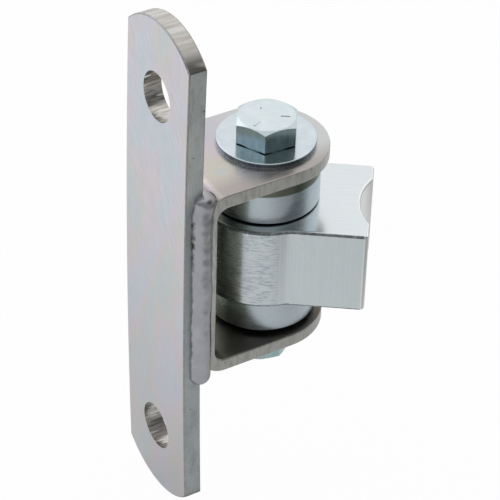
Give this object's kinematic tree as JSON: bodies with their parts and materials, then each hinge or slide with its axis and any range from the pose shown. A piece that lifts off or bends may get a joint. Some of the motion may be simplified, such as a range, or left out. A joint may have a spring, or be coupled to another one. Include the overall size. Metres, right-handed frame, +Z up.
{
  "type": "bolt-on gate hinge",
  "caption": "Bolt-on gate hinge: a round-ended post plate with a welded steel clevis, and a weld-on gate knuckle that turns on a hex bolt between ball thrust bearings",
  "frame": {"origin": "the centre of the post plate's mounting face, half way between its two bolt holes", "axes": "+X leaves the post at right angles to the plate, +Y runs across the plate, +Z is up, along the plate and the hinge axis"},
  "size_m": [0.0808, 0.0588, 0.1858],
  "materials": {
    "zinc_plate": "zinc plated flat bar with a faint iridescent passivate and a fine grain",
    "zinc_strip": "zinc plated bent strip, satin, slightly warm",
    "zinc_weld": "zinc plated weld bead, rough",
    "zinc_fastener": "bright blue-white zinc plating",
    "zinc_block": "zinc plated forged steel, satin",
    "zinc_band": "bright zinc plated bearing band",
    "bush_bronze": "plain oiled bronze, hidden",
    "race_steel": "dark greased bearing steel, hidden but for a thin line",
    "ball_steel": "polished bearing balls, hidden"
  },
  "bodies": {
    "post_side": {"mounting_plate": "zinc_plate", "clevis_bracket": "zinc_strip", "weld_bead_near": "zinc_weld", "weld_bead_far": "zinc_weld", "pivot_bolt": "zinc_fastener", "head_washer": "zinc_fastener", "nut_washer": "zinc_fastener", "hex_nut": "zinc_fastener", "upper_bearing_band": "zinc_band", "upper_bearing_top_race": "race_steel", "lower_bearing_bottom_race": "race_steel"},
    "gate_side": {"hinge_block": "zinc_block", "pivot_bush": "bush_bronze", "upper_bearing_bottom_race": "race_steel", "lower_bearing_band": "zinc_band", "lower_bearing_top_race": "race_steel"},
    "upper_ball_set": {"upper_bearing_balls": "ball_steel"},
    "lower_ball_set": {"lower_bearing_balls": "ball_steel"}
  },
  "joints": [
    {"name": "gate_swing", "type": "hinge", "parent": "post_side", "child": "gate_side", "pos_m": [0.041, 0, 0.00145], "axis": [0, 0, 1], "range_deg": [-73, 145]},
    {"name": "upper_balls_orbit", "type": "hinge", "parent": "post_side", "child": "upper_ball_set", "pos_m": [0.041, 0, 0.02455], "axis": [0, 0, 1], "range_deg": [-36.5, 72.5]},
    {"name": "lower_balls_orbit", "type": "hinge", "parent": "post_side", "child": "lower_ball_set", "pos_m": [0.041, 0, -0.021], "axis": [0, 0, 1], "range_deg": [-36.5, 72.5]}
  ],
  "couplings": [
    {"joint": "upper_balls_orbit", "follows": "gate_swing", "ratio": 0.5},
    {"joint": "lower_balls_orbit", "follows": "gate_swing", "ratio": 0.5}
  ]
}
